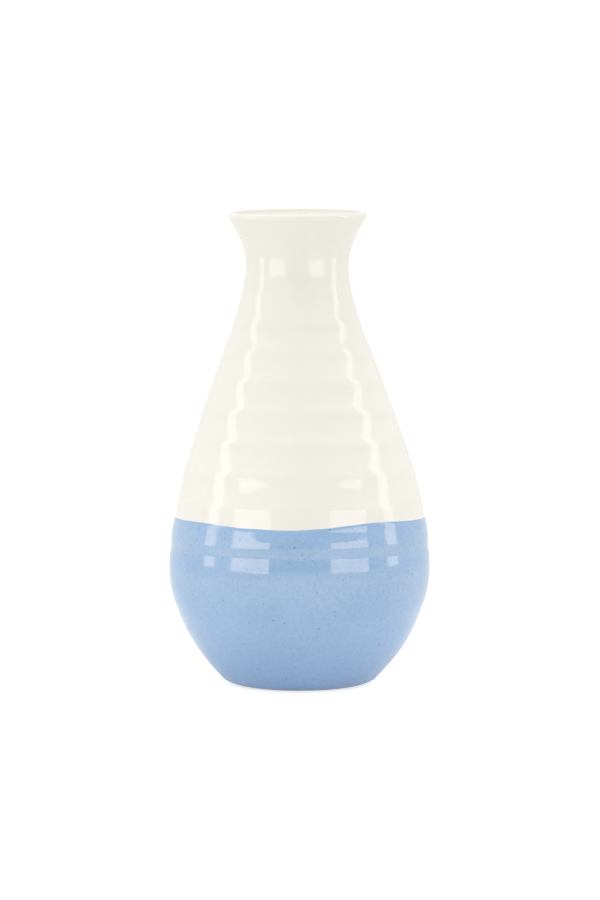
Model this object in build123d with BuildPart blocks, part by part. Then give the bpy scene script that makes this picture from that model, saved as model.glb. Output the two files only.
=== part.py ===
from build123d import *
import os

# A stoneware bud vase: one turned clay body and the four coats of glaze on it.
# +Z is up, and the origin is the centre of the circle that the foot stands on.
# Every section is drawn as (radius, height) and revolved round the Z axis.
# All sizes are in millimetres.

# Outside of the clay
belly_r = 40.95
belly_z = 36.0
neck_r = 16.0
neck_z = 132.7
lip_r = 20.7             # radius of the circle along the crest of the lip
lip_z = 148.75           # height of the centre of the lip's rounding
lip_half = 0.9           # half the clay's thickness at the lip
lip_lean = 30.0          # outward lean of the outside wall at the lip, degrees

# Foot
ring_in = 14.6           # inner edge of the ring that the vase stands on
ring_out = 19.2          # outer edge of the ring
shoulder_r = 24.6        # where the bevel over the ring meets the wall
shoulder_z = 2.6
recess_r = 12.8          # flat inside the ring
recess_z = 1.8
ring_round = 0.35
recess_round = 1.0

# Inside of the clay
throat_r = 12.8
throat_low = 124.0       # the throat is a plain cylinder between these two heights
throat_high = 132.0
flare_lean = 34.0        # outward lean of the inside wall at the lip, degrees
floor_r = 17.0
floor_z = 7.0

# Glazes
white_thick = 0.35
blue_thick = 0.55
liner_thick = 0.4
base_thick = 0.4
white_low = 49.5         # lower edge of the white, hidden under the blue
blue_high = 53.5         # upper edge of the blue, which laps over the white
liner_high = 147.0       # joint of the liner and the white, just inside the mouth
blue_edge = (20.3, 0.25)  # corner of the blue's lower edge, on the bevel

# The four curves of the wall, from the shoulder up to the lip and down to the floor.
lip = CenterArc((lip_r, lip_z), lip_half, -lip_lean, 180 + lip_lean - flare_lean)
lower_wall = Spline(
    (shoulder_r, shoulder_z),
    (31.3, 10.4),
    (37.4, 21.0),
    (belly_r, belly_z),
    (39.9, 50.0),
    (36.7, 66.0),
    (26.8, 96.0),
    (18.35, 120.0),
    (neck_r, neck_z),
    tangents=[(1, 1), (0, 1)],
    tangent_scalars=(1, 1),
)
neck = Spline((neck_r, neck_z), lip @ 0, tangents=[(0, 1), lip % 0], tangent_scalars=(1, 1))
flare = Spline(
    lip @ 1,
    (throat_r, throat_high),
    tangents=[lip % 1, (0, -1)],
    tangent_scalars=(1, 1),
)
inner_wall = Spline(
    (throat_r, throat_low),
    (22.9, 95.0),
    (33.1, 64.0),
    (36.7, 38.0),
    (28.5, 14.0),
    (floor_r, floor_z),
    tangents=[(0, -1), (-1, 0)],
    tangent_scalars=(1, 1),
)


def beside(curve, distance, steps=16):
    """Draws the line that keeps a distance from a curve, on its right-hand side."""
    points = []
    for i in range(steps + 1):
        along = curve % (i / steps)
        points.append(curve @ (i / steps) + distance * Vector(along.Y, -along.X))
    Spline(*points, tangents=[curve % 0, curve % 1], tangent_scalars=(1, 1))


def wall(thick):
    """Draws the surface of a coat, from the shoulder over the lip to the floor."""
    beside(lower_wall, thick)
    beside(neck, thick)
    CenterArc((lip_r, lip_z), lip_half + thick, -lip_lean, 180 + lip_lean - flare_lean)
    beside(flare, thick)
    Line((throat_r - thick, throat_high), (throat_r - thick, throat_low))
    beside(inner_wall, thick)
    Line((floor_r, floor_z + thick), (0, floor_z + thick))


def under(thick):
    """Closes a coat's outline along the axis and out to the blue's lower edge."""
    shoulder = (shoulder_r + thick * 0.5**0.5, shoulder_z - thick * 0.5**0.5)
    inside_z = (floor_z + recess_z) / 2
    Polyline(
        (0, floor_z + thick),
        (0, inside_z),
        (blue_edge[0], inside_z),
        blue_edge,
        shoulder,
    )


# The clay's half section
with BuildSketch() as clay_section:
    with BuildLine():
        wall(0)
        Polyline(
            (0, floor_z),
            (0, recess_z),
            (recess_r, recess_z),
            (ring_in, 0),
            (ring_out, 0),
            (shoulder_r, shoulder_z),
        )
    make_face()
    fillet(clay_section.vertices().group_by(Axis.Y)[0], radius=ring_round)
    recess_edge = clay_section.vertices().sort_by_distance((recess_r, recess_z))[0]
    fillet(recess_edge, radius=recess_round)

# The side of the clay that faces the mouth, up to where the liner meets the white.
# Its long edge runs along the middle of the wall.
with BuildSketch() as mouth_side:
    Polygon(
        (0, 4.5),
        (23.0, 5.5),
        (33.5, 18.0),
        (39.0, 38.0),
        (35.2, 64.0),
        (25.0, 95.0),
        (14.6, 126.0),
        (14.5, 133.0),
        (19.6, liner_high),
        (0, liner_high),
        align=None,
    )

# The turned clay, bare only on the ring that it stands on
with BuildPart() as clay_body:
    with BuildSketch(Plane.XZ):
        add(clay_section.sketch)
    revolve(axis=Axis.Z)
clay_body.part.label = "clay_body"
export_step(clay_body.part, "parts/clay_body.step")

# The glaze poured into the vase, from the floor up to just inside the mouth
with BuildPart() as liner_glaze:
    with BuildSketch(Plane.XZ):
        with BuildLine():
            wall(liner_thick)
            under(liner_thick)
        make_face()
        add(clay_section.sketch, mode=Mode.SUBTRACT)
        add(mouth_side.sketch, mode=Mode.INTERSECT)
    revolve(axis=Axis.Z)
liner_glaze.part.label = "liner_glaze"
export_step(liner_glaze.part, "parts/liner_glaze.step")

# The white glaze outside, from under the blue's edge up and over the lip
with BuildPart() as white_glaze:
    with BuildSketch(Plane.XZ):
        with BuildLine():
            wall(white_thick)
            under(white_thick)
        make_face()
        add(clay_section.sketch, mode=Mode.SUBTRACT)
        add(mouth_side.sketch, mode=Mode.SUBTRACT)
        with Locations((0, white_low)):
            Rectangle(4 * belly_r, white_low, align=(Align.CENTER, Align.MAX), mode=Mode.SUBTRACT)
    revolve(axis=Axis.Z)
white_glaze.part.label = "white_glaze"
export_step(white_glaze.part, "parts/white_glaze.step")

# The blue glaze that the foot is dipped in, which laps over the white's lower edge
with BuildPart() as blue_glaze:
    with BuildSketch(Plane.XZ):
        with BuildLine():
            wall(blue_thick)
            under(blue_thick)
        make_face()
        add(clay_section.sketch, mode=Mode.SUBTRACT)
        add(mouth_side.sketch, mode=Mode.SUBTRACT)
        with Locations((0, blue_high)):
            Rectangle(4 * belly_r, 4 * belly_r, align=(Align.CENTER, Align.MIN), mode=Mode.SUBTRACT)
    revolve(axis=Axis.Z)
    add(white_glaze.part, mode=Mode.SUBTRACT)
blue_glaze.part.label = "blue_glaze"
export_step(blue_glaze.part, "parts/blue_glaze.step")

# The same blue in the recess, inside the wiped ring
with BuildPart() as base_glaze:
    with BuildSketch(Plane.XZ):
        with Locations((0, recess_z)):
            Rectangle(recess_r, base_thick, align=(Align.MIN, Align.MAX))
        add(clay_section.sketch, mode=Mode.SUBTRACT)
    revolve(axis=Axis.Z)
base_glaze.part.label = "base_glaze"
export_step(base_glaze.part, "parts/base_glaze.step")
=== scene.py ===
import math

import bpy
import numpy as np
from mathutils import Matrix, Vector


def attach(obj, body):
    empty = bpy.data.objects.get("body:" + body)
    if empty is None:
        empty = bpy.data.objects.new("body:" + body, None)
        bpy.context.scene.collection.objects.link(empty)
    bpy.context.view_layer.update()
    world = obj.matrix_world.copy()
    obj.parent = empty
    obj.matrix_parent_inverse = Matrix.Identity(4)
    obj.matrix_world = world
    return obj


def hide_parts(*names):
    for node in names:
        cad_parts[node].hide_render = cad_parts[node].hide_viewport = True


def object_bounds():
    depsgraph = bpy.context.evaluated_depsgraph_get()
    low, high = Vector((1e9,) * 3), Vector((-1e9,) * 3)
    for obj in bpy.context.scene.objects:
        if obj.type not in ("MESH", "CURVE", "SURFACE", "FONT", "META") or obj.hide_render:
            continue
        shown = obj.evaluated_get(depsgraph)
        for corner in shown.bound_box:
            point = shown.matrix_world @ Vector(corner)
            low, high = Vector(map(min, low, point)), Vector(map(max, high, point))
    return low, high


# A hand-thrown stoneware bud vase with its coats of glaze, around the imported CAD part.
# The wall is drawn once as a half section in millimetres, (radius, height), and every
# piece is turned from that section. One function then gives all of them the same
# unevenness of the hand, so that the coats stay on the clay. Lights and camera are in metres.

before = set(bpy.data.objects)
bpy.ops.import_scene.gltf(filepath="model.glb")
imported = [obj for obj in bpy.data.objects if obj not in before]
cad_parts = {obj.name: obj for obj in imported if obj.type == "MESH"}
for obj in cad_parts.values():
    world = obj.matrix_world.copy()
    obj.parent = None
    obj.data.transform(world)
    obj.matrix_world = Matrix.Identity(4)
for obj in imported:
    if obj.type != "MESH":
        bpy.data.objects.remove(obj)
cad_low, cad_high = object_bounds()
MM = 0.001
TOP = cad_high.z / MM            # height of the vase, which the lip has to meet
CAD_BELLY = cad_high.x / MM      # radius of the vase over its glaze

# Coats: thickness over the clay, and how far a coat is let into what is under it
WHITE, BLUE, LINER, BASE = 0.35, 0.55, 0.4, 0.4
LET_IN = 0.05

# Driving sizes of the clay. The wall starts at the shoulder, above the foot's bevel
ROOM = 0.05                      # kept free inside the CAD's width
LIP_HALF = 0.9
LIP_Z = TOP - LIP_HALF - WHITE
LIP_R = 20.7
BELLY_R = CAD_BELLY - BLUE - ROOM
NECK = (16.0, 132.7)
SHOULDER = (24.6, 2.6)
THROAT_R = 12.8
THROAT_LOW, THROAT_HIGH = 124.0, 132.0
FLOOR = (17.0, 7.0)
RING_IN, RING_OUT = 14.6, 19.2
RECESS_R, RECESS_Z = 12.8, 1.8
# Edges of the coats: heights of the white's lower, the blue's upper and the liner's upper
WHITE_LOW, BLUE_HIGH, LINER_HIGH = 49.5, 53.5, 147.0


# ---- the wall's half section ---------------------------------------------------------
def unit(v):
    v = np.array(v, float)
    return v / np.hypot(*v)


def spline(points, start, end, steps=300):
    """Dense points on the smooth curve through the stations, with set end directions."""
    p = np.array(points, float)
    t = np.concatenate([[0.0], np.cumsum(np.hypot(*np.diff(p, axis=0).T))])
    n = len(p)
    a, b = np.zeros((n, n)), np.zeros((n, 2))
    a[0, 0] = a[-1, -1] = 1.0
    b[0], b[-1] = unit(start), unit(end)
    for i in range(1, n - 1):
        h0, h1 = t[i] - t[i - 1], t[i + 1] - t[i]
        a[i, i - 1 : i + 2] = 1 / h0, 2 / h0 + 2 / h1, 1 / h1
        b[i] = 3 * ((p[i] - p[i - 1]) / h0**2 + (p[i + 1] - p[i]) / h1**2)
    m = np.linalg.solve(a, b)
    at = np.linspace(0, t[-1], steps)
    k = np.clip(np.searchsorted(t, at, side="right") - 1, 0, n - 2)
    h = (t[k + 1] - t[k])[:, None]
    u = ((at - t[k]) / h[:, 0])[:, None]
    return (
        (1 + 2 * u) * (1 - u) ** 2 * p[k]
        + u * (1 - u) ** 2 * h * m[k]
        + u**2 * (3 - 2 * u) * p[k + 1]
        + u**2 * (u - 1) * h * m[k + 1]
    )


def arc(centre, radius, first, last, steps):
    """Points on a circle between two angles in degrees."""
    a = np.radians(np.linspace(first, last, steps))
    return np.column_stack([centre[0] + radius * np.cos(a), centre[1] + radius * np.sin(a)])


lip = arc((LIP_R, LIP_Z), LIP_HALF, -30, 146, 60)
outside = spline(
    [SHOULDER, (31.3, 10.4), (37.4, 21.0), (BELLY_R, 36.0), (39.9, 50.0), (36.7, 66.0),
     (26.8, 96.0), (18.35, 120.0), NECK],
    (1, 1), (0, 1), 500,
)
neck = spline([NECK, lip[0]], (0, 1), (0.5, 0.866), 80)
flare = spline([lip[-1], (THROAT_R, THROAT_HIGH)], (-0.559, -0.829), (0, -1), 80)
throat = np.array([(THROAT_R, THROAT_HIGH), (THROAT_R, THROAT_LOW)])
inside = spline(
    [(THROAT_R, THROAT_LOW), (22.9, 95.0), (33.1, 64.0), (36.7, 38.0), (28.5, 14.0), FLOOR],
    (0, -1), (-1, 0), 400,
)
bottom = np.array([FLOOR, (0.0, FLOOR[1])])
wall = np.vstack([outside, neck[1:], lip[1:], flare[1:], throat[1:], inside[1:], bottom[1:]])
along = np.concatenate([[0.0], np.cumsum(np.hypot(*np.diff(wall, axis=0).T))])
# Even stations and a rounded-off slope, so that the normals come out smooth
STATIONS, REACH, ROUND_OFF = 4000, 12, 5.0
grid = np.linspace(0, along[-1], STATIONS)
wall = np.column_stack([np.interp(grid, along, wall[:, i]) for i in (0, 1)])
slope = np.gradient(wall, axis=0)
kernel = np.exp(-0.5 * (np.arange(-REACH, REACH + 1) / ROUND_OFF) ** 2)
kernel /= kernel.sum()
for i in (0, 1):
    padded = np.concatenate([np.full(REACH, slope[0, i]), slope[:, i], np.full(REACH, slope[-1, i])])
    slope[:, i] = np.convolve(padded, kernel, "valid")
slope /= np.hypot(slope[:, 0], slope[:, 1])[:, None]
normal = np.column_stack([slope[:, 1], -slope[:, 0]])
crest = int(np.argmax(wall[:, 1]))


def s_outside(z):
    """Distance along the wall of a height on the outside."""
    return np.interp(z, wall[: crest + 1, 1], grid[: crest + 1])


def s_inside(z):
    """Distance along the wall of a height on the inside."""
    return np.interp(-np.asarray(z), -wall[crest:, 1], grid[crest:])


def on_wall(s, coat):
    """(radius, height) at a distance along the wall, a coat's thickness off the clay."""
    r, z, nr, nz = (np.interp(s, grid, v) for v in (*wall.T, *normal.T))
    return np.stack([np.maximum(r + coat * nr, 0.0), z + coat * nz], axis=-1)


# ---- what the hand leaves ------------------------------------------------------------
# Heights of the throwing rings' crests
RING_CRESTS = (
    -1, 8, 17.5, 26.5, 36, 46.5, 58.4, 69.2, 79.0, 88.4, 97.6, 106.8, 115.8, 125, 134, 143, 152,
)
# The rest is (height, amount): how far the rings stand out
RING_DEPTH = (
    (0, 0), (8, 0.0), (16, 0.04), (36, 0.03), (44, 0), (53, 0.03), (60, 0.14), (118, 0.14),
    (125, 0.07), (132, 0.03), (144, 0), (200, 0),
)
# Long swells of the wall, and the ledge on the belly
SWELLS = (
    (0, 0), (12, 0.06), (24, -0.08), (32, 0.13), (41.2, -0.04), (44.0, -0.26), (47.5, 0.2),
    (53, 0), (59, 0.17), (65, 0.16), (73, 0), (81, -0.14), (90, 0), (102, 0.13), (112, -0.14),
    (124, 0.04), (134, 0.08), (141, -0.08), (149, 0), (200, 0),
)
# A shallow crease in the front, under the blue's edge
CREASE = ((0, 0), (46.6, 0), (49.0, 0.08), (52.4, -0.1), (56, 0), (200, 0))
# How far the wall's centre wanders to the right
LEAN = (
    (0, 0.1), (12, 0.15), (20, 0.02), (39, 0.06), (55, 0.24), (72, 0), (90, -0.32),
    (106, -0.5), (118, -0.82), (134, -0.64), (150, -0.54), (200, -0.54),
)
PITCH = 0.05
heights = np.arange(-5, 160, PITCH)


def smoothed(stations, width):
    """The stations' line on the even heights, rounded off over a width."""
    h, v = np.array(stations, float).T
    n = int(4 * width / PITCH)
    k = np.exp(-0.5 * (np.arange(-n, n + 1) * PITCH / width) ** 2)
    line = np.interp(heights, h, v)
    return np.convolve(np.pad(line, n, mode="edge"), k / k.sum(), "valid")


phase = np.interp(heights, RING_CRESTS, np.arange(len(RING_CRESTS)))
ring_shape = np.cos(2 * math.pi * phase) + 0.15 * np.cos(4 * math.pi * phase)
rings = smoothed(RING_DEPTH, 2.0) * ring_shape
swell = smoothed(SWELLS, 0.45)
crease = smoothed(CREASE, 0.3)
lean_x = smoothed(LEAN, 3.0)
lean_y = 0.35 * np.sin(heights / 31.0 + 0.4) * np.clip(heights / 30, 0, 1)
rng = np.random.default_rng(7)
# Small dents, as waves: how many go round, how fast they climb, and where they start
WOBBLES = [
    (int(rng.integers(1, 9)), rng.uniform(0.05, 0.32) * rng.choice((-1, 1)), rng.uniform(0, 6.28))
    for _ in range(14)
]


def step(low, high, v):
    """0 below low and 1 above high, smooth between."""
    t = np.clip((v - low) / (high - low), 0, 1)
    return t * t * (3 - 2 * t)


def bell(v, centre, width):
    """1 at the centre, falling off over the width on both sides."""
    return np.exp(-(((v - centre) / width) ** 2))


DENT = 0.009                             # height of each small wave
RIM_R = 22
RIM_RIGHT, RIM_BACK, RIM_WARP = 0.15, 0.4, 0.06  # the rim's rise at its right and back edges


def thrown(az, r, z):
    """Where the hand really put a point of the true turned form. Angles are from the front."""
    # The foot stays true, so that the vase stands level
    fade = step(2.5, 10, z)
    dent = sum(np.sin(k * az + m * z + p) for k, m, p in WOBBLES) * DENT
    # The rings are strongest in the front quarters, where the photo shows them
    front = np.clip(np.cos(az), 0, 1) ** 0.5
    ringed = np.interp(z, heights, rings) * (0.45 + 1.4 * front * np.sin(2 * az) ** 2)
    degrees = (np.degrees(az) + 180) % 360 - 180
    nick = np.interp(z, heights, crease) * step(-30, -10, degrees) * (1 - step(38, 60, degrees))
    # A flat spot low on the left front
    flat = -0.2 * np.exp(-(((z - 33) / 3.5) ** 2) - ((degrees + 34) / 9) ** 2)
    dr = fade * (ringed + np.interp(z, heights, swell) + dent + nick + flat)
    r = np.maximum(r + dr * step(0, 6, r), 0)
    x = r * np.sin(az) + np.interp(z, heights, lean_x) * fade
    y = -r * np.cos(az) + np.interp(z, heights, lean_y) * fade
    top = step(128, 150, z)
    tilt = RIM_RIGHT * x / RIM_R + RIM_BACK * y / RIM_R + RIM_WARP * np.sin(2 * az + 1.1)
    z = z + top * tilt
    return np.stack([x, y, z], axis=-1) * MM


# ---- turning a section into a mesh ---------------------------------------------------
def turned(name, section, closed, sides, values=None):
    """A closed mesh from section points (rows, 2) or (rows, sides, 2). An open section
    starts and ends on the axis. values holds a named number for each point."""
    az = np.linspace(0, 2 * math.pi, sides, endpoint=False)
    section = np.asarray(section, float)
    if section.ndim == 2:
        section = np.repeat(section[:, None], sides, axis=1)
    count = len(section)
    spots = thrown(az[None, :], section[..., 0], section[..., 1])
    faces = []
    if closed:
        verts = spots.reshape(-1, 3)
        index = np.arange(count * sides).reshape(count, sides)
        pairs = [(i, (i + 1) % count) for i in range(count)]
    else:
        body = spots[1:-1].reshape(-1, 3)
        verts = np.vstack([body, spots[0].mean(axis=0), spots[-1].mean(axis=0)])
        index = np.arange((count - 2) * sides).reshape(count - 2, sides)
        pairs = [(i, i + 1) for i in range(count - 3)]
        first, last = len(body), len(body) + 1
        for j in range(sides):
            k = (j + 1) % sides
            faces.append((first, int(index[0, k]), int(index[0, j])))
            faces.append((last, int(index[-1, j]), int(index[-1, k])))
    for i, k in pairs:
        a, b = index[i], index[k]
        a2, b2 = np.roll(a, -1), np.roll(b, -1)
        faces.extend(map(tuple, np.column_stack([a, a2, b2, b]).tolist()))
    mesh = bpy.data.meshes.new(name)
    mesh.from_pydata(verts.tolist(), [], faces)
    for key, numbers in (values or {}).items():
        v = np.broadcast_to(np.asarray(numbers, float).reshape(count, -1), (count, sides))
        if not closed:
            v = np.concatenate([v[1:-1].ravel(), [v[0, 0], v[-1, 0]]])
        attribute = mesh.attributes.new(key, "FLOAT", "POINT")
        attribute.data.foreach_set("value", np.ravel(v).astype("f"))
    mesh.shade_smooth()
    mesh.validate()
    made = bpy.data.objects.new(name, mesh)
    bpy.context.scene.collection.objects.link(made)
    return made


def ring_hollows(section):
    """0 on a ring's crest, 1 in the hollow between two: where the glaze lies thicker, and where the
    blue gets painted shade.
    """
    z = np.asarray(section)[..., 1]
    return np.interp(z, heights, 0.5 - 0.5 * np.cos(2 * math.pi * phase))


# ---- materials -----------------------------------------------------------------------
def new_material(name):
    made = bpy.data.materials.new(name)
    made.use_nodes = True
    tree = made.node_tree
    return made, tree, tree.nodes["Principled BSDF"]


def maths(tree, operation, a, b=None, c=None):
    """A Math node. Each input is a number or a socket."""
    node = tree.nodes.new("ShaderNodeMath")
    node.operation = operation
    for i, item in enumerate((a, b, c)):
        if item is None:
            continue
        if isinstance(item, (int, float)):
            node.inputs[i].default_value = item
        else:
            tree.links.new(item, node.inputs[i])
    return node.outputs[0]


def spread(tree, source, low, high, to_low=0.0, to_high=1.0):
    """A Map Range node, smooth between the two ends."""
    node = tree.nodes.new("ShaderNodeMapRange")
    node.interpolation_type = "SMOOTHSTEP"
    tree.links.new(source, node.inputs["Value"])
    for key, number in (("From Min", low), ("From Max", high), ("To Min", to_low), ("To Max", to_high)):
        node.inputs[key].default_value = number
    return node.outputs["Result"]


def mixed(tree, factor, a, b):
    """A colour mix. Each colour is an RGB triple or a socket."""
    node = tree.nodes.new("ShaderNodeMix")
    node.data_type = "RGBA"
    for key, item in ((6, a), (7, b)):
        if isinstance(item, tuple):
            node.inputs[key].default_value = (*item, 1)
        else:
            tree.links.new(item, node.inputs[key])
    tree.links.new(factor, node.inputs[0])
    return node.outputs[2]


def places(tree):
    return tree.nodes.new("ShaderNodeTexCoord").outputs["Object"]


def cloud(tree, where, size_mm, detail=3.0, roughness=0.55):
    """A noise whose patches are about size_mm across."""
    node = tree.nodes.new("ShaderNodeTexNoise")
    node.inputs["Scale"].default_value = 0.6 / (size_mm * MM)
    node.inputs["Detail"].default_value = detail
    node.inputs["Roughness"].default_value = roughness
    tree.links.new(where, node.inputs["Vector"])
    return node.outputs["Fac"]


def specks(tree, where, cell_mm, radius_mm, share):
    """Round dots, one in some of the cells: 1 in a dot and 0 outside."""
    node = tree.nodes.new("ShaderNodeTexVoronoi")
    node.inputs["Scale"].default_value = 1 / (cell_mm * MM)
    tree.links.new(where, node.inputs["Vector"])
    parts = tree.nodes.new("ShaderNodeSeparateColor")
    tree.links.new(node.outputs["Color"], parts.inputs["Color"])
    edge = maths(tree, "MULTIPLY_ADD", parts.outputs["Green"], 0.8, 0.4)
    size = maths(tree, "MULTIPLY", edge, radius_mm / cell_mm)
    dot = maths(tree, "SUBTRACT", size, node.outputs["Distance"])
    soft = spread(tree, dot, -0.12 * radius_mm / cell_mm, 0.3 * radius_mm / cell_mm)
    chosen = maths(tree, "LESS_THAN", parts.outputs["Red"], share)
    return maths(tree, "MULTIPLY", soft, chosen)


def own(tree, name):
    """A number that the mesh carries for each of its points."""
    node = tree.nodes.new("ShaderNodeAttribute")
    node.attribute_name = name
    return node.outputs["Fac"]


def bumped(tree, shader, height, strength, distance_mm, under=None):
    """A Bump node over another's normal, wired to the shader unless that is None."""
    node = tree.nodes.new("ShaderNodeBump")
    node.inputs["Strength"].default_value = strength
    node.inputs["Distance"].default_value = distance_mm * MM
    tree.links.new(height, node.inputs["Height"])
    if under is not None:
        tree.links.new(under, node.inputs["Normal"])
    if shader is not None:
        tree.links.new(node.outputs["Normal"], shader.inputs["Normal"])
    return node.outputs["Normal"]


def glass_skin(tree, shader, where, ior):
    """The gloss of a glaze: nearly even roughness and the slight ripple of its surface."""
    patch = cloud(tree, where, 9.0, 2.0)
    rough = spread(tree, patch, 0.3, 0.7, 0.045, 0.1)
    tree.links.new(rough, shader.inputs["Roughness"])
    ripple = bumped(tree, None, cloud(tree, where, 3.2, 1.0), 0.35, 0.02)
    bumped(tree, shader, cloud(tree, where, 0.7, 2.0), 0.25, 0.004, ripple)
    shader.inputs["IOR"].default_value = ior


# Linear colours of the glazes and the clay. The lighter inside and lip creams are painted light, and
# the deep blue is in part painted shade
CREAM = (0.67, 0.648, 0.592)
# Painted light: a lighter cream on the lip's top, where the light falls on it
CREAM_PAINTED_LIP_LIGHT = (0.70, 0.68, 0.625)
CREAM_POOL = (0.685, 0.666, 0.615)
BLUE_BASE = (0.222, 0.351, 0.517)
BLUE_LIGHT = (0.284, 0.417, 0.577)
# Deeper blue, both the glaze's own at the dipped edge and painted shade towards the foot and in the
# ring hollows
BLUE_DEEP_AND_SHADE = (0.125, 0.295, 0.585)
BLUE_SPECK = (0.045, 0.09, 0.26)
# Painted light: a lighter cream for the inside, to make up for the shade in the mouth
INSIDE_PAINTED_LIGHT = (0.79, 0.77, 0.715)
INSIDE_POOL_PAINTED_LIGHT = (0.81, 0.795, 0.745)
CLAY = (0.66, 0.59, 0.49)
CLAY_PALE = (0.74, 0.68, 0.59)
GROG = (0.26, 0.19, 0.13)
# Gloss, set so that the highlights are as bright and as warm as the photo's
CREAM_IOR, BLUE_IOR = 1.42, 1.7
BLUE_TINT = (1.0, 0.8, 0.62, 1)


def cream_glaze(name):
    made, tree, shader = new_material(name)
    where = places(tree)
    broad = spread(tree, cloud(tree, where, 22.0, 3.0), 0.3, 0.7)
    fine = spread(tree, cloud(tree, where, 2.5, 3.0), 0.25, 0.75)
    lie = maths(tree, "MULTIPLY_ADD", own(tree, "pool_and_shade"), 0.12, 0.0)
    lie = maths(tree, "MULTIPLY_ADD", broad, 0.4, lie)
    lie = maths(tree, "MULTIPLY_ADD", fine, 0.15, lie)
    # Painted light: inside the mouth the cream is mixed towards a lighter copy, which stands for light
    # the inside doesn't get
    inner = own(tree, "inner")
    outside = mixed(tree, lie, CREAM, CREAM_POOL)
    inside = mixed(tree, lie, INSIDE_PAINTED_LIGHT, INSIDE_POOL_PAINTED_LIGHT)
    tone = mixed(tree, inner, outside, inside)
    # Painted light: the lip's top is mixed towards the lighter cream
    painted_lip_light = maths(tree, "MULTIPLY", own(tree, "painted_lip_light"), 0.6)
    tone = mixed(tree, painted_lip_light, tone, CREAM_PAINTED_LIP_LIGHT)
    tree.links.new(tone, shader.inputs["Base Color"])
    glass_skin(tree, shader, where, CREAM_IOR)
    return made


def blue_glaze(name):
    made, tree, shader = new_material(name)
    where = places(tree)
    fine = spread(tree, cloud(tree, where, 0.6, 4.0, 0.7), 0.34, 0.66)
    broad = spread(tree, cloud(tree, where, 12.0, 3.0), 0.3, 0.7)
    lie = maths(tree, "MULTIPLY_ADD", fine, 0.55, 0.0)
    lie = maths(tree, "MULTIPLY_ADD", broad, 0.45, lie)
    tone = mixed(tree, lie, BLUE_BASE, BLUE_LIGHT)
    # Painted shade in part: the ring hollows go towards the deeper blue, partly for glaze pooled there
    # and partly for the shade in them
    pool_and_shade = maths(tree, "MULTIPLY", own(tree, "pool_and_shade"), 0.12)
    # Painted shade in part: the deeper blue towards the foot and in one band stands for shade, the one
    # at the edge is the glaze's own
    pool_and_shade = maths(tree, "MAXIMUM", pool_and_shade, own(tree, "deep_and_painted_shade"))
    tone = mixed(tree, pool_and_shade, tone, BLUE_DEEP_AND_SHADE)
    dust = maths(tree, "MULTIPLY", specks(tree, where, 0.8, 0.14, 0.6), 0.4)
    small = maths(tree, "MULTIPLY", specks(tree, where, 1.3, 0.2, 0.6), 0.5)
    large = maths(tree, "MULTIPLY", specks(tree, where, 2.7, 0.32, 0.5), 0.5)
    dots = maths(tree, "MAXIMUM", maths(tree, "MAXIMUM", dust, small), large)
    tone = mixed(tree, dots, tone, BLUE_SPECK)
    tree.links.new(tone, shader.inputs["Base Color"])
    glass_skin(tree, shader, where, BLUE_IOR)
    shader.inputs["Specular Tint"].default_value = BLUE_TINT
    return made


def bare_clay(name):
    made, tree, shader = new_material(name)
    where = places(tree)
    grain = cloud(tree, where, 0.5, 4.0, 0.7)
    broad = cloud(tree, where, 6.0, 3.0)
    tone = mixed(tree, spread(tree, broad, 0.3, 0.7), CLAY, CLAY_PALE)
    grog = specks(tree, where, 1.1, 0.2, 0.3)
    tone = mixed(tree, grog, tone, GROG)
    tree.links.new(tone, shader.inputs["Base Color"])
    tree.links.new(spread(tree, grain, 0.3, 0.7, 0.78, 0.95), shader.inputs["Roughness"])
    # The tool's fine turning lines, round the axis
    lines = tree.nodes.new("ShaderNodeTexWave")
    lines.wave_type = "RINGS"
    lines.rings_direction = "Z"
    lines.inputs["Scale"].default_value = 0.3 / (0.8 * MM)
    lines.inputs["Distortion"].default_value = 1.5
    tree.links.new(where, lines.inputs["Vector"])
    turning = bumped(tree, None, lines.outputs["Fac"], 0.4, 0.05)
    bumped(tree, shader, grain, 0.6, 0.08, turning)
    return made


# ---- the pieces ----------------------------------------------------------------------
def rows(first, last, pitch):
    """Even values from first to last, about a pitch apart."""
    return np.linspace(first, last, max(3, int(abs(last - first) / pitch) + 1))


# Clay: up the outside, over the lip, down the inside, and the foot underneath
recess_r = rows(1.5, RECESS_R - 0.9, 1.4)
foot = np.vstack([
    [(0.0, RECESS_Z)],
    np.column_stack([recess_r, np.full(len(recess_r), RECESS_Z)]),
    [(RECESS_R - 0.45, 1.72), (RECESS_R + 0.1, 1.5), (RECESS_R + 0.6, 1.1)],
    [(RING_IN - 0.35, 0.35), (RING_IN - 0.12, 0.13), (RING_IN + 0.15, 0.03), (RING_IN + 0.4, 0.0)],
    [(RING_IN + 1.5, 0.0), (RING_OUT - 1.5, 0.0)],
    [(RING_OUT - 0.35, 0.0), (RING_OUT - 0.1, 0.03), (RING_OUT + 0.16, 0.12), (RING_OUT + 0.4, 0.26)],
    [(20.6, 0.62), (22.0, 1.3), (23.4, 1.98)],
])
clay_s = rows(0, grid[-1], 1.3)
clay = turned("clay", np.vstack([foot, on_wall(clay_s, 0.0)]), False, 192)

# White glaze: outside from under the blue to just inside the mouth, and back in the clay
white_out = np.concatenate([
    rows(s_outside(WHITE_LOW), s_outside(144), 0.5),
    rows(s_outside(144), s_inside(LINER_HIGH) - 0.06, 0.16)[1:],
    s_inside(LINER_HIGH) - np.array([0.03, 0.01, 0.0]),
])
full = WHITE + (LINER - WHITE) * step(s_inside(149), s_inside(LINER_HIGH), white_out)
skin = on_wall(white_out, full)
back = on_wall(rows(s_inside(LINER_HIGH), s_outside(WHITE_LOW), 1.6), -LET_IN)
white_section = np.vstack([skin, back])
# Painted light: a band round the lip's top that the cream glaze makes lighter
painted_lip_light_mask = bell(white_section[:, 1], TOP, 0.9)
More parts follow.
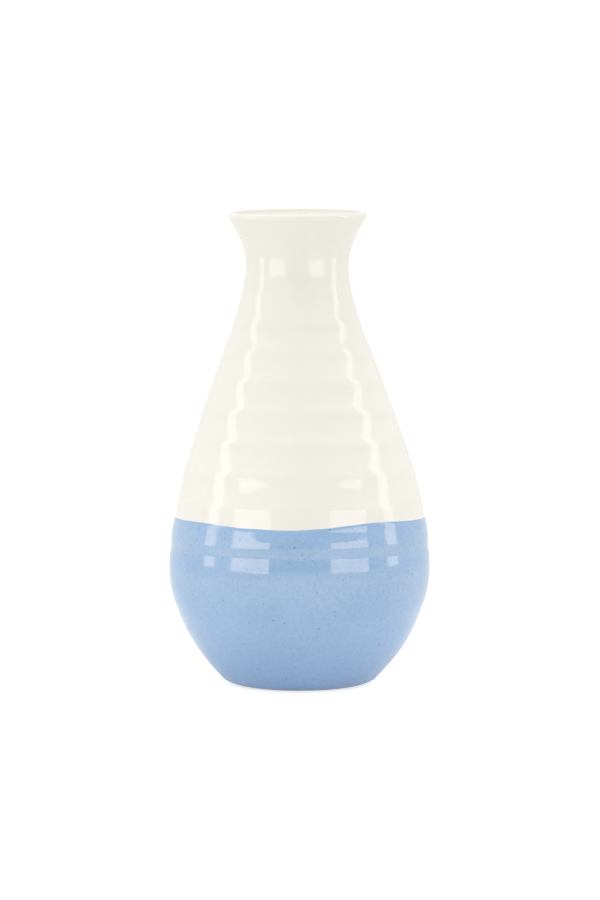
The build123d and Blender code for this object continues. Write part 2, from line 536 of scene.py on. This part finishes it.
# Painted light: from the lip's crest inwards the white coat takes the lighter inside cream
inner = np.concatenate([step(grid[crest], s_inside(TOP - 1.6), white_out), np.zeros(len(back))])
white = turned(
    "white_coat", white_section, True, 256,
    {"pool_and_shade": ring_hollows(white_section), "painted_lip_light": painted_lip_light_mask, "inner": inner},
)

# Liner: from the mouth down to the middle of the floor. It starts 0.01 mm from the white's
# last row, and both have close rows there, so that the joint doesn't catch the light
liner_top = s_inside(LINER_HIGH) + 0.01
liner_out = np.concatenate([
    liner_top + np.array([0.0, 0.01, 0.03, 0.06, 0.2]),
    rows(liner_top + 0.5, grid[-1], 0.9),
])
liner_under = on_wall(rows(liner_out[0], grid[-1], 2.0), -LET_IN)
liner_section = np.vstack([on_wall(liner_out[::-1], LINER), liner_under])
liner_points = len(liner_section)
# Painted light: the liner takes the lighter inside cream all over
liner = turned(
    "liner_coat", liner_section, False, 192,
    {"pool_and_shade": ring_hollows(liner_section), "painted_lip_light": np.zeros(liner_points), "inner": np.ones(liner_points)},
)

# Blue glaze, whose upper edge waves as the vase was dipped by hand: (degrees, rise)
SIDES = 288
EDGE_WAVE = (
    (-180, -0.4), (-150, 0.1), (-120, 0.3), (-90, -0.2), (-64, 0.2), (-48, 0.6), (-33, -0.05),
    (-18, -0.25), (-4, -0.5), (6, -0.15), (18, 0.5), (36, 1.4), (49, 0.9), (70, 0.1),
    (90, -0.2), (120, 0.1), (150, -0.1), (180, -0.4),
)
turn = np.degrees(np.linspace(0, 2 * math.pi, SIDES, endpoint=False))
turn = (turn + 180) % 360 - 180
wave_at, wave_by = np.array(EDGE_WAVE, float).T
fine_turn = np.arange(-540, 540, 1.0)
wave = np.interp((fine_turn + 180) % 360 - 180, wave_at, wave_by)
soft = np.exp(-0.5 * (np.arange(-20, 21) / 5.0) ** 2)
wave = np.convolve(wave, soft / soft.sum(), "same")
edge_z = BLUE_HIGH + np.interp(turn, fine_turn, wave)
edge_z += 0.05 * np.sin(np.radians(turn) * 23) * np.sin(np.radians(turn) * 5 + 1)


EDGE_ROUND = 1.1


def blue_coat(below):
    """The blue's thickness at a distance below its edge: rounded, then even."""
    round_off = np.sin(np.clip(below / EDGE_ROUND, 0, 1) * math.pi / 2) ** 0.8
    return WHITE - LET_IN + (BLUE - WHITE + LET_IN) * round_off


down = np.concatenate([
    [0, 0.03, 0.08, 0.15, 0.25, 0.35, 0.5, 0.65, 0.8, 0.95, EDGE_ROUND],
    rows(1.3, 6, 0.27),
])
near_s = s_outside(edge_z)[None, :] - down[:, None]
near = on_wall(near_s, np.repeat(blue_coat(down)[:, None], SIDES, axis=1))
far_share = rows(1.0, 0.0, 1 / 105)[1:]
far_s = far_share[:, None] * near_s[-1][None, :]
far = on_wall(far_s, np.full(far_s.shape, BLUE))
# The glaze's lower end, a bead above the bare clay of the foot
bead = np.array([
    (24.62, 1.75), (23.6, 1.22), (22.5, 0.72), (21.6, 0.42), (21.05, 0.33), (20.75, 0.42), (20.7, 0.6),
])
bead = np.repeat(bead[:, None], SIDES, axis=1)
hidden = np.repeat(np.array([(22.4, 1.6), (24.5, 2.65)])[:, None], SIDES, axis=1)
low_s = np.repeat(rows(0.3, s_outside(WHITE_LOW - 0.1), 1.6)[:, None], SIDES, axis=1)
low = on_wall(low_s, np.full(low_s.shape, -LET_IN))
lap_low = s_outside(WHITE_LOW + 0.1)
lap_s = lap_low + np.linspace(0, 1, 5)[:, None] * (near_s[0] - 0.25 - lap_low)
lap = on_wall(lap_s, np.full(lap_s.shape, WHITE - 2 * LET_IN))
blue_section = np.concatenate([near, far, bead, hidden, low, lap])
blue_z = blue_section[..., 1]
below = edge_z[None, :] - blue_z
# The colour is deeper at the edge and just under it, where the dipped glaze lies; the darkening towards
# the foot and in one band is painted shade
deep_and_painted_shade = 0.3 * bell(below, 0, 0.6) + 0.12 * bell(below, 1.5, 1.2)
deep_and_painted_shade += 0.3 * bell(blue_z, 6, 18) + 0.12 * bell(blue_z, 28, 4)
blue = turned(
    "blue_coat", blue_section, True, SIDES,
    {"pool_and_shade": ring_hollows(blue_section), "deep_and_painted_shade": np.clip(deep_and_painted_shade, 0, 1)},
)

# The blue left in the recess, with a soft edge against the clay
disc = np.array([
    (0.0, RECESS_Z + LET_IN), (6.0, RECESS_Z + LET_IN), (12.2, RECESS_Z + LET_IN), (12.6, 1.66),
    (12.55, 1.5), (12.3, 1.42), (11.8, 1.4), (10.5, RECESS_Z - BASE), (8.0, RECESS_Z - BASE),
    (5.0, RECESS_Z - BASE + 0.02), (2.0, RECESS_Z - BASE + 0.03), (0.0, RECESS_Z - BASE + 0.03),
])[::-1]
base = turned(
    "base_coat", disc, False, 160,
    {"pool_and_shade": np.full(len(disc), 0.5), "deep_and_painted_shade": 0.5 * step(11.4, 12.5, disc[:, 0])},
)

PIECES = (
    (clay, "clay_body", "bare_clay", bare_clay("bare_clay")),
    (liner, "liner_glaze", "liner_glaze", cream_glaze("liner_glaze")),
    (white, "white_glaze", "white_glaze", cream_glaze("white_glaze")),
    (blue, "blue_glaze", "blue_glaze", blue_glaze("blue_glaze")),
    (base, "base_glaze", "base_glaze", blue_glaze("base_glaze")),
)
for piece, node, finish, material in PIECES:
    piece.data.materials.append(material)
    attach(piece, "root")
    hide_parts(node)


# ---- floor, light and camera ---------------------------------------------------------
FLOOR_HALF = 6.0


def pale_floor():
    """Plain paper. It is brighter to the camera than as light, as the photo shows no floor."""
    mesh = bpy.data.meshes.new("floor")
    corners = [(x * FLOOR_HALF, y * FLOOR_HALF, 0) for x, y in ((-1, -1), (1, -1), (1, 1), (-1, 1))]
    mesh.from_pydata(corners, [], [(0, 1, 2, 3)])
    made = bpy.data.objects.new("floor", mesh)
    bpy.context.scene.collection.objects.link(made)
    material, tree, shader = new_material("floor_paper")
    shader.inputs["Base Color"].default_value = (0.7, 0.7, 0.7, 1)
    shader.inputs["Roughness"].default_value = 0.8
    shader.inputs["Emission Color"].default_value = (1, 1, 1, 1)
    seen_from = tree.nodes.new("ShaderNodeLightPath").outputs["Is Camera Ray"]
    # The paper glows softly round the foot, as over a light table
    radial = tree.nodes.new("ShaderNodeVectorMath")
    radial.operation = "LENGTH"
    tree.links.new(places(tree), radial.inputs[0])
    glow = spread(tree, radial.outputs["Value"], 0.04, 0.2, 0.24, 0.05)
    shown = maths(tree, "MAXIMUM", glow, maths(tree, "MULTIPLY", seen_from, 0.65))
    tree.links.new(shown, shader.inputs["Emission Strength"])
    mesh.materials.append(material)


def soft_box(name, turn_deg, away, wide, low, high, radiance):
    """A lit panel that faces the vase, turned from the front round the axis."""
    lamp = bpy.data.lights.new(name, "AREA")
    lamp.shape = "RECTANGLE"
    lamp.size, lamp.size_y = wide, high - low
    lamp.energy = radiance * math.pi * wide * (high - low)
    made = bpy.data.objects.new(name, lamp)
    a = math.radians(turn_deg)
    spot = Vector((away * math.sin(a), -away * math.cos(a), (low + high) / 2))
    made.location = spot
    made.rotation_euler = Vector((-spot.x, -spot.y, 0)).to_track_quat("-Z", "Y").to_euler()
    made.visible_camera = False
    bpy.context.scene.collection.objects.link(made)


pale_floor()
BOX = {"away": 0.41, "wide": 0.255, "high": 0.168, "radiance": 2.6}
STRIP = {"away": 0.40, "wide": 0.086, "low": 0.036, "high": 0.40, "radiance": 2.1}
# For each side: the box's angle and lower edge, and the strip's angle
LIGHTS = (("left", -43, 0.029, -83.2), ("right", 43.5, 0.024, 86.3))
for name, box_turn, box_low, strip_turn in LIGHTS:
    soft_box("box_" + name, box_turn, low=box_low, **BOX)
    soft_box("strip_" + name, strip_turn, **STRIP)

# A pale surround, darker in front and brighter behind and overhead. The camera sees it white
world = bpy.data.worlds.new("studio")
bpy.context.scene.world = world
world.use_nodes = True
air = world.node_tree
lit = air.nodes["Background"]
around = air.nodes.new("ShaderNodeTexCoord")
split = air.nodes.new("ShaderNodeSeparateXYZ")
air.links.new(around.outputs["Generated"], split.inputs[0])
towards = maths(air, "MULTIPLY_ADD", split.outputs["Z"], 1.1, split.outputs["Y"])
towards = maths(air, "MULTIPLY_ADD", split.outputs["X"], -0.32, towards)
around_it = spread(air, towards, -0.97, -0.05, 0.3, 0.95)
overhead = spread(air, split.outputs["Z"], 0.5, 0.95, 0.0, 0.85)
air.links.new(maths(air, "ADD", around_it, overhead), lit.inputs["Strength"])
lit.inputs["Color"].default_value = (1, 1, 1, 1)
seen = air.nodes.new("ShaderNodeBackground")
seen.inputs["Color"].default_value = (1, 1, 1, 1)
seen.inputs["Strength"].default_value = 1.05
path = air.nodes.new("ShaderNodeLightPath")
both = air.nodes.new("ShaderNodeMixShader")
air.links.new(path.outputs["Is Camera Ray"], both.inputs[0])
air.links.new(lit.outputs[0], both.inputs[1])
air.links.new(seen.outputs[0], both.inputs[2])
air.links.new(both.outputs[0], air.nodes["World Output"].inputs["Surface"])

CAMERA_X = 0.0002
CAMERA_AWAY, CAMERA_Z, LOOK_Z = 1.2, 0.1875, 0.0743
camera = bpy.data.cameras.new("camera")
camera.lens, camera.sensor_width = 151.8, 36
camera.clip_start = 0.05
eye = bpy.data.objects.new("camera", camera)
bpy.context.scene.collection.objects.link(eye)
look_at = Vector((CAMERA_X, 0, LOOK_Z))
eye.location = (CAMERA_X, -CAMERA_AWAY, CAMERA_Z)
eye.rotation_euler = (look_at - eye.location).to_track_quat("-Z", "Y").to_euler()
bpy.context.scene.camera = eye
bpy.context.scene.view_settings.view_transform = "Standard"
